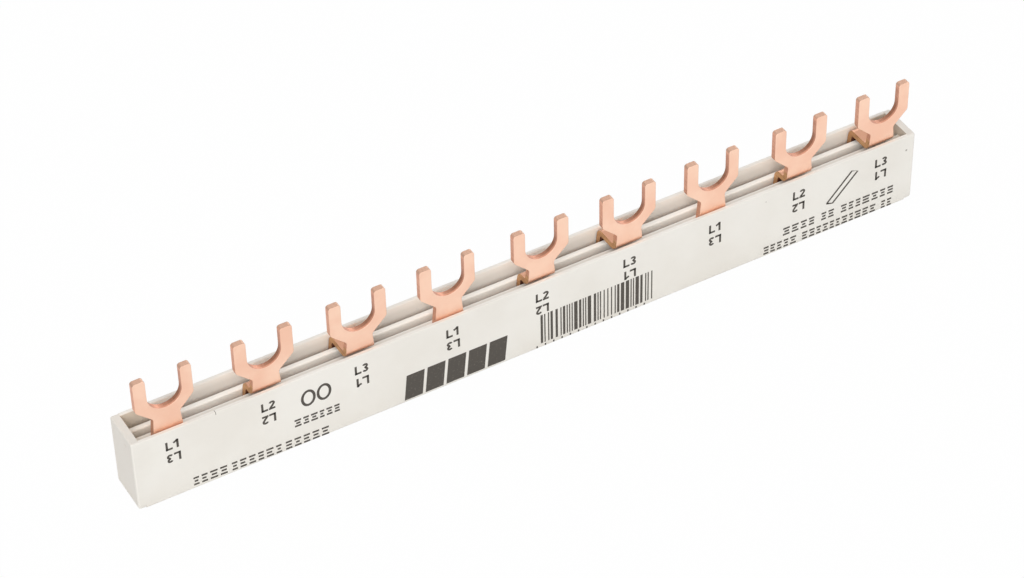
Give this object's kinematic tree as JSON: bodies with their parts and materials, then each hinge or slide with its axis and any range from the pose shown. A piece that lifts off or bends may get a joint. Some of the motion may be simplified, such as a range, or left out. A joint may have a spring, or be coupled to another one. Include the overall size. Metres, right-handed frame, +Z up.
{
  "type": "comb busbar",
  "caption": "Comb busbar: an insulating channel rail holding nested copper combs whose fork tongues stand in one row to feed modular breakers, closed by an end cap at each end.",
  "frame": {"origin": "centre of the rail's underside", "axes": "+X along the bar, its left end in the picture at -X; +Y away from the printed face; +Z up, the way the fork tongues point"},
  "size_m": [0.157, 0.0084, 0.0275],
  "materials": {
    "rail_plastic": "satin off-white",
    "cap_plastic": "satin off-white",
    "copper": "plain rolled copper"
  },
  "bodies": {
    "root": {"rail": "rail_plastic", "end_cap_left": "cap_plastic", "end_cap_right": "cap_plastic", "comb_l1": "copper", "comb_l2": "copper", "comb_l3": "copper"}
  },
  "joints": []
}
